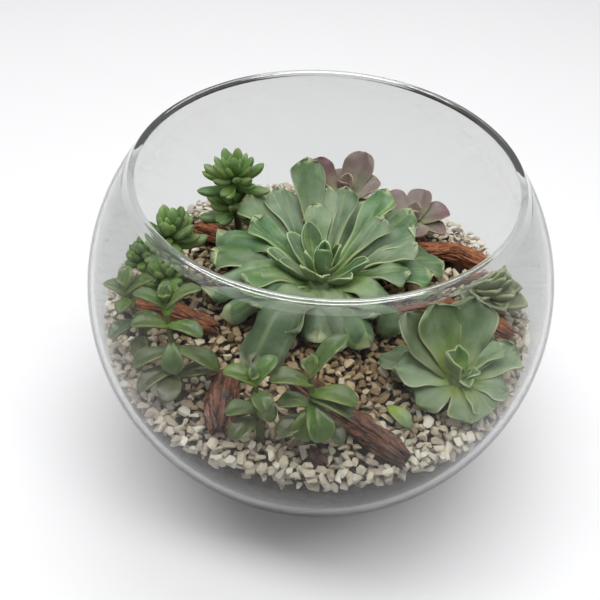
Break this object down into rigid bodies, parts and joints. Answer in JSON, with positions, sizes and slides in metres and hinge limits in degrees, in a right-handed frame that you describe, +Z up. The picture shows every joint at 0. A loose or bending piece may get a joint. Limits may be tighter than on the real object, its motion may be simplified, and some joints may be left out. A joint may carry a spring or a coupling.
{
  "type": "glass plant terrarium",
  "caption": "Round open glass bowl planted with rosette and leafy succulents, driftwood and pale gravel over soil.",
  "frame": {"origin": "middle of the bowl's flat base, on the surface that it stands on", "axes": "+Z up, -Y towards the viewer, +X to the viewer's right"},
  "size_m": [0.25, 0.25, 0.1934],
  "materials": {
    "clear_glass": "clear blown glass, polished",
    "pale_gravel": "dry crushed limestone",
    "soil": "dark crumbly potting soil",
    "dark_pebbles": "matt dark pebbles",
    "leaf_blue_green": "waxy leaf with a powdery bloom",
    "leaf_pale_green": "waxy leaf with a powdery bloom",
    "leaf_grey_green": "waxy grey-green leaf",
    "leaf_bright_green": "smooth fleshy leaf",
    "leaf_purple": "waxy purple leaf with green edges",
    "driftwood": "fibrous red-brown wood, damp in places"
  },
  "bodies": {
    "root": {"glass_bowl": "clear_glass", "gravel": "pale_gravel", "potting_soil": "soil", "drainage_pebbles": "dark_pebbles", "rosette_centre": "leaf_blue_green", "rosette_front_right": "leaf_pale_green", "rosette_back_right": "leaf_grey_green", "rosette_purple_left": "leaf_purple", "rosette_purple_right": "leaf_purple", "sedum_back_left": "leaf_bright_green", "sedum_left": "leaf_grey_green", "spray_left_outer": "leaf_bright_green", "spray_left_inner": "leaf_bright_green", "spray_front_left": "leaf_bright_green", "spray_front_right": "leaf_bright_green", "fallen_leaf": "leaf_pale_green", "driftwood_front": "driftwood", "driftwood_front_left": "driftwood", "driftwood_right": "driftwood", "driftwood_back_right": "driftwood", "driftwood_back_left": "driftwood", "driftwood_left": "driftwood", "driftwood_twig": "driftwood"}
  },
  "joints": []
}
